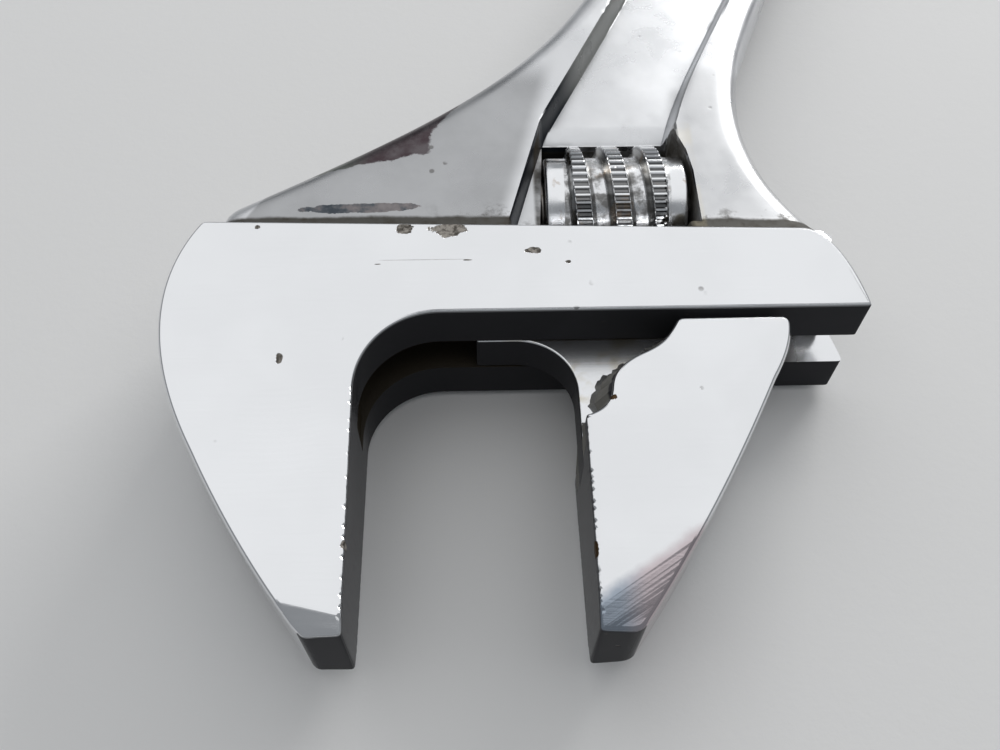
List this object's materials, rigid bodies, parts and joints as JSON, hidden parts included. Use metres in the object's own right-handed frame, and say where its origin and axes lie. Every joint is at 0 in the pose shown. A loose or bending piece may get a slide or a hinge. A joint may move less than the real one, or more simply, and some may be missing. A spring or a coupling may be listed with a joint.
{
  "type": "adjustable wrench",
  "caption": "Adjustable wrench: one forging with handle and fixed jaw, a sliding jaw on a round rack, and a knurled worm that moves it.",
  "frame": {"origin": "centre of the fixed jaw's gripping face, in the middle of the head's thickness", "axes": "+X out of the fixed jaw's face, the way the sliding jaw opens; +Y from the jaw tips to the head, with the handle leaning 24 degrees from it towards +X; +Z out of the flat side of the wrench"},
  "size_m": [0.1286, 0.2286, 0.0168],
  "materials": {
    "forged_chrome": "polished chrome on the head, satin chrome on neck and handle",
    "jaw_chrome": "polished chrome",
    "worm_chrome": "plated, knurled",
    "pin_steel": "turned steel",
    "spring_steel": "oiled spring wire"
  },
  "bodies": {
    "wrench": {"wrench_body": "forged_chrome", "worm_pin": "pin_steel", "worm_spring": "spring_steel"},
    "jaw": {"sliding_jaw": "jaw_chrome"},
    "worm": {"adjusting_worm": "worm_chrome"}
  },
  "joints": [
    {"name": "jaw_slide", "type": "slide", "parent": "wrench", "child": "jaw", "axis": [1, 0, 0], "range_m": [-0.0211, 0.0072]},
    {"name": "worm_spin", "type": "hinge", "parent": "wrench", "child": "worm", "pos_m": [0.02678, 0.0374, 0], "axis": [1, 0, 0], "range_deg": [-640, 1850]}
  ],
  "couplings": [
    {"joint": "worm_spin", "follows": "jaw_slide", "rad_per_m": -1514}
  ]
}
